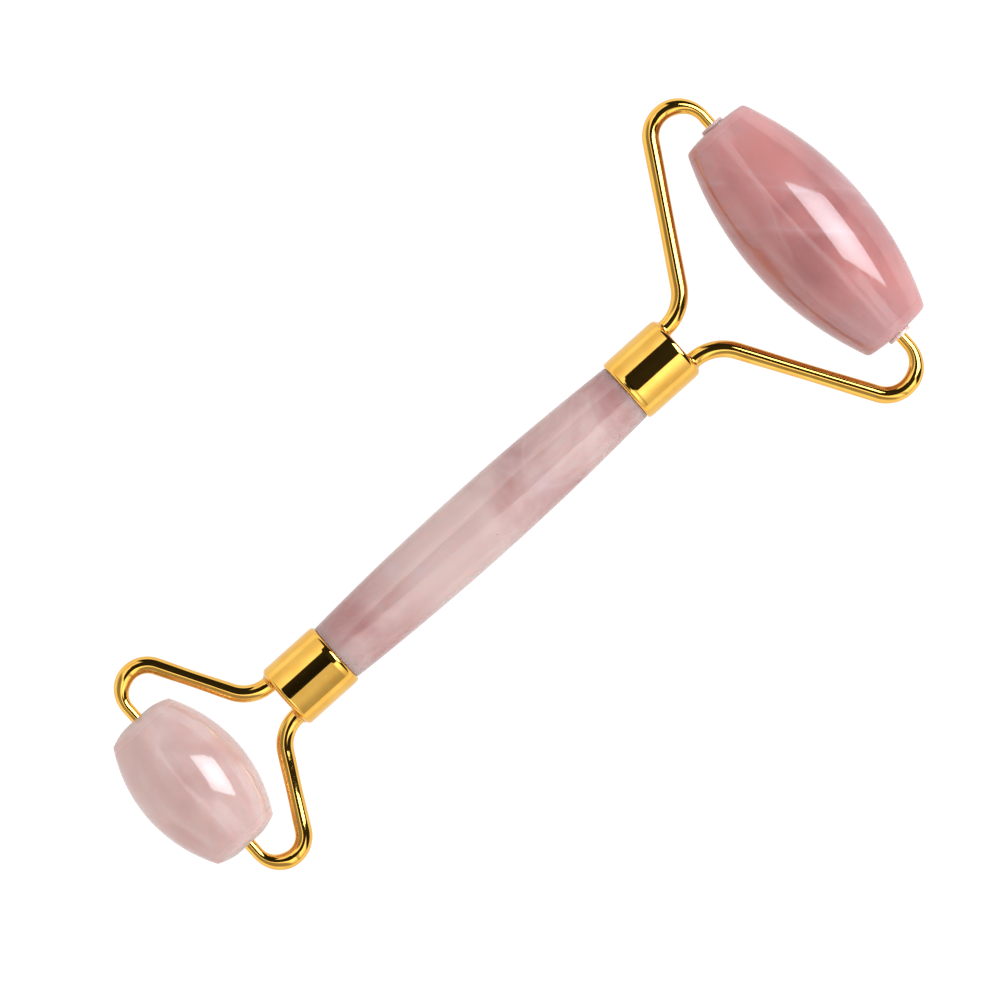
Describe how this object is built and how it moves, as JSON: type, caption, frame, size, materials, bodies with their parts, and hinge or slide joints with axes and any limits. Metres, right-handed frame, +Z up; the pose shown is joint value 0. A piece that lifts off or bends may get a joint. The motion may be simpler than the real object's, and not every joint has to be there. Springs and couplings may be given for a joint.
{
  "type": "double-ended face roller",
  "caption": "Hand-held double-ended face roller: barrel-shaped stone grip, metal caps, bent wire forks, and a free-turning stone barrel in each fork.",
  "frame": {"origin": "middle of the footprint: bounding box centre in X and Y, lowest point in Z, as the roller lies flat on a table", "axes": "+X along the grip towards the large roller, +Y towards the left arms (the rollers' axes run along Y), +Z up, away from the table"},
  "size_m": [0.1448, 0.0588, 0.0202],
  "materials": {
    "grip_stone": "polished pale rose quartz, cloudy, waxed",
    "large_roller_stone": "polished rose quartz, deeper pink with pale veins",
    "small_roller_stone": "polished pale rose quartz, cloudy",
    "gold_plate": "mirror-polished yellow gold plating",
    "braze": "plated over, bright",
    "clear_nylon": "translucent natural nylon",
    "cured_adhesive": "cured clear epoxy"
  },
  "bodies": {
    "frame": {"handle_stone": "grip_stone", "large_cap": "gold_plate", "small_cap": "gold_plate", "large_cap_adhesive": "cured_adhesive", "small_cap_adhesive": "cured_adhesive", "large_arm_left": "gold_plate", "large_arm_right": "gold_plate", "small_arm_left": "gold_plate", "small_arm_right": "gold_plate", "large_bead_left": "braze", "large_bead_right": "braze", "small_bead_left": "braze", "small_bead_right": "braze"},
    "large_roller": {"large_roller_stone": "large_roller_stone", "large_bush_left": "clear_nylon", "large_bush_right": "clear_nylon"},
    "small_roller": {"small_roller_stone": "small_roller_stone", "small_bush_left": "clear_nylon", "small_bush_right": "clear_nylon"}
  },
  "joints": [
    {"name": "large_roller_spin", "type": "hinge", "parent": "frame", "child": "large_roller", "pos_m": [0.06229, 0, 0.0101], "axis": [0, 1, 0], "continuous": true},
    {"name": "small_roller_spin", "type": "hinge", "parent": "frame", "child": "small_roller", "pos_m": [-0.06341, 0, 0.0101], "axis": [0, 1, 0], "continuous": true}
  ]
}
